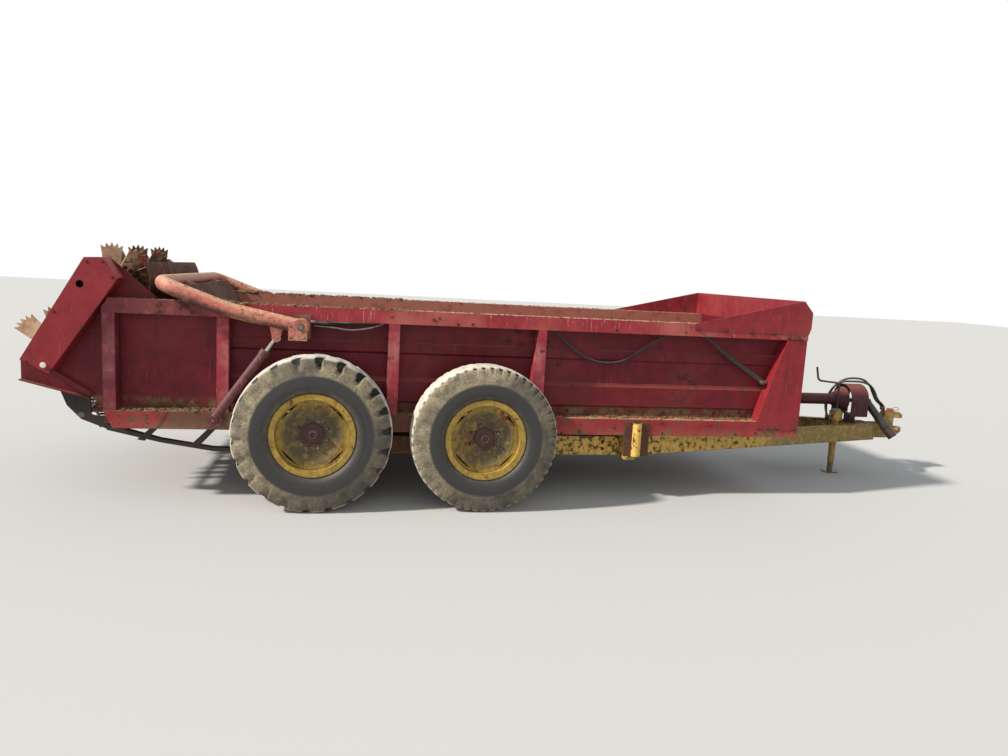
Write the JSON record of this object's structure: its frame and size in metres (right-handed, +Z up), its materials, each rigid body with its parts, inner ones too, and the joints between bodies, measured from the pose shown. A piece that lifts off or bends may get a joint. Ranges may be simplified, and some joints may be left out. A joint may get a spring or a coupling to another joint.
{
  "type": "manure spreader",
  "caption": "Weathered red tandem-axle manure spreader with a yellow drawbar, an apron floor, toothed paddle beaters, a lift gate and a hand-crank jack.",
  "frame": {"origin": "on the ground, halfway along and on the middle plane of the machine's outline box", "axes": "+X towards the hitch, +Y to the machine's left, +Z up, ground at Z = 0"},
  "size_m": [7.5588, 2.576, 1.762],
  "materials": {
    "red_paint": "weathered satin",
    "faded_paint": "chalky matt",
    "yellow_paint": "weathered satin",
    "rusty_steel": "matt rust",
    "dark_steel": "matt",
    "bare_steel": "worn satin",
    "rod_chrome": "bright",
    "tyre_rubber": "dusty",
    "hose_rubber": "dusty"
  },
  "bodies": {
    "spreader": {"frame_beams": "yellow_paint", "cross_members": "rusty_steel", "hitch_clevis": "yellow_paint", "sills": "red_paint", "side_wall_right": "red_paint", "side_wall_left": "red_paint", "posts": "red_paint", "rail_right": "faded_paint", "rail_left": "faded_paint", "front_wall": "red_paint", "front_extension": "faded_paint", "side_extensions": "faded_paint", "corner_gussets": "red_paint", "floor": "rusty_steel", "apron": "rusty_steel", "apron_shafts": "bare_steel", "rear_struts": "dark_steel", "rear_side_right": "red_paint", "rear_side_left": "red_paint", "chain_cover": "red_paint", "side_drive": "dark_steel", "beater_bearings": "dark_steel", "beater_hood": "rusty_steel", "gate_brackets": "red_paint", "bogie": "rusty_steel", "jack_body": "yellow_paint", "driveline": "red_paint", "pto_shield": "red_paint", "hoses": "hose_rubber"},
    "lower_beater": {"lower_beater": "faded_paint"},
    "upper_beater": {"upper_beater": "faded_paint"},
    "lift_gate": {"gate_frame": "faded_paint", "gate_panel": "rusty_steel"},
    "jack_foot": {"jack_leg": "bare_steel"},
    "pto_half_shaft": {"pto_shaft": "dark_steel"},
    "wheel_front_right": {"tyre_front_right": "tyre_rubber", "rim_front_right": "yellow_paint"},
    "wheel_front_left": {"tyre_front_left": "tyre_rubber", "rim_front_left": "yellow_paint"},
    "wheel_rear_right": {"tyre_rear_right": "tyre_rubber", "rim_rear_right": "yellow_paint"},
    "wheel_rear_left": {"tyre_rear_left": "tyre_rubber", "rim_rear_left": "yellow_paint"},
    "barrel_right": {"cylinder_barrel_right": "faded_paint"},
    "rod_right": {"cylinder_rod_right": "rod_chrome"},
    "barrel_left": {"cylinder_barrel_left": "faded_paint"},
    "rod_left": {"cylinder_rod_left": "rod_chrome"}
  },
  "joints": [
    {"name": "roll_front_right", "type": "hinge", "parent": "spreader", "child": "wheel_front_right", "pos_m": [-0.54063, -1.143, 0.525], "axis": [0, 1, 0], "continuous": true},
    {"name": "roll_front_left", "type": "hinge", "parent": "spreader", "child": "wheel_front_left", "pos_m": [-0.54063, 1.143, 0.525], "axis": [0, 1, 0], "continuous": true},
    {"name": "roll_rear_right", "type": "hinge", "parent": "spreader", "child": "wheel_rear_right", "pos_m": [-1.72964, -1.143, 0.54], "axis": [0, 1, 0], "continuous": true},
    {"name": "roll_rear_left", "type": "hinge", "parent": "spreader", "child": "wheel_rear_left", "pos_m": [-1.72964, 1.143, 0.54], "axis": [0, 1, 0], "continuous": true},
    {"name": "lower_beater_spin", "type": "hinge", "parent": "spreader", "child": "lower_beater", "pos_m": [-3.47564, 0, 1.01], "axis": [0, 1, 0], "continuous": true},
    {"name": "upper_beater_spin", "type": "hinge", "parent": "spreader", "child": "upper_beater", "pos_m": [-3.14064, 0, 1.49], "axis": [0, 1, 0], "continuous": true},
    {"name": "gate_lift", "type": "hinge", "parent": "spreader", "child": "lift_gate", "pos_m": [-1.83064, 0, 1.256], "axis": [0, 1, 0], "range_deg": [0, 60]},
    {"name": "barrel_swing_right", "type": "hinge", "parent": "spreader", "child": "barrel_right", "pos_m": [-2.40564, -1.032, 0.59], "axis": [0, 1, 0], "range_deg": [-6.5, 0.5]},
    {"name": "rod_slide_right", "type": "slide", "parent": "barrel_right", "child": "rod_right", "axis": [0.5745, 0, 0.8185], "range_m": [-0.001, 0.165]},
    {"name": "barrel_swing_left", "type": "hinge", "parent": "spreader", "child": "barrel_left", "pos_m": [-2.40564, 1.032, 0.59], "axis": [0, 1, 0], "range_deg": [-6.5, 0.5]},
    {"name": "rod_slide_left", "type": "slide", "parent": "barrel_left", "child": "rod_left", "axis": [0.5745, 0, 0.8185], "range_m": [-0.001, 0.165]},
    {"name": "jack_wind", "type": "slide", "parent": "spreader", "child": "jack_foot", "axis": [0, 0, 1], "range_m": [-0.2, 0.08]},
    {"name": "pto_swing", "type": "hinge", "parent": "spreader", "child": "pto_half_shaft", "pos_m": [3.38937, 0, 0.66], "axis": [-0.7619, -0.6476, 0], "range_deg": [0, 48]}
  ],
  "couplings": [
    {"joint": "upper_beater_spin", "follows": "lower_beater_spin", "ratio": 1},
    {"joint": "barrel_swing_right", "follows": "gate_lift", "ratio": -0.10148},
    {"joint": "rod_slide_right", "follows": "gate_lift", "m_per_rad": 0.15312},
    {"joint": "barrel_swing_left", "follows": "gate_lift", "ratio": -0.10148},
    {"joint": "rod_slide_left", "follows": "gate_lift", "m_per_rad": 0.15312}
  ]
}
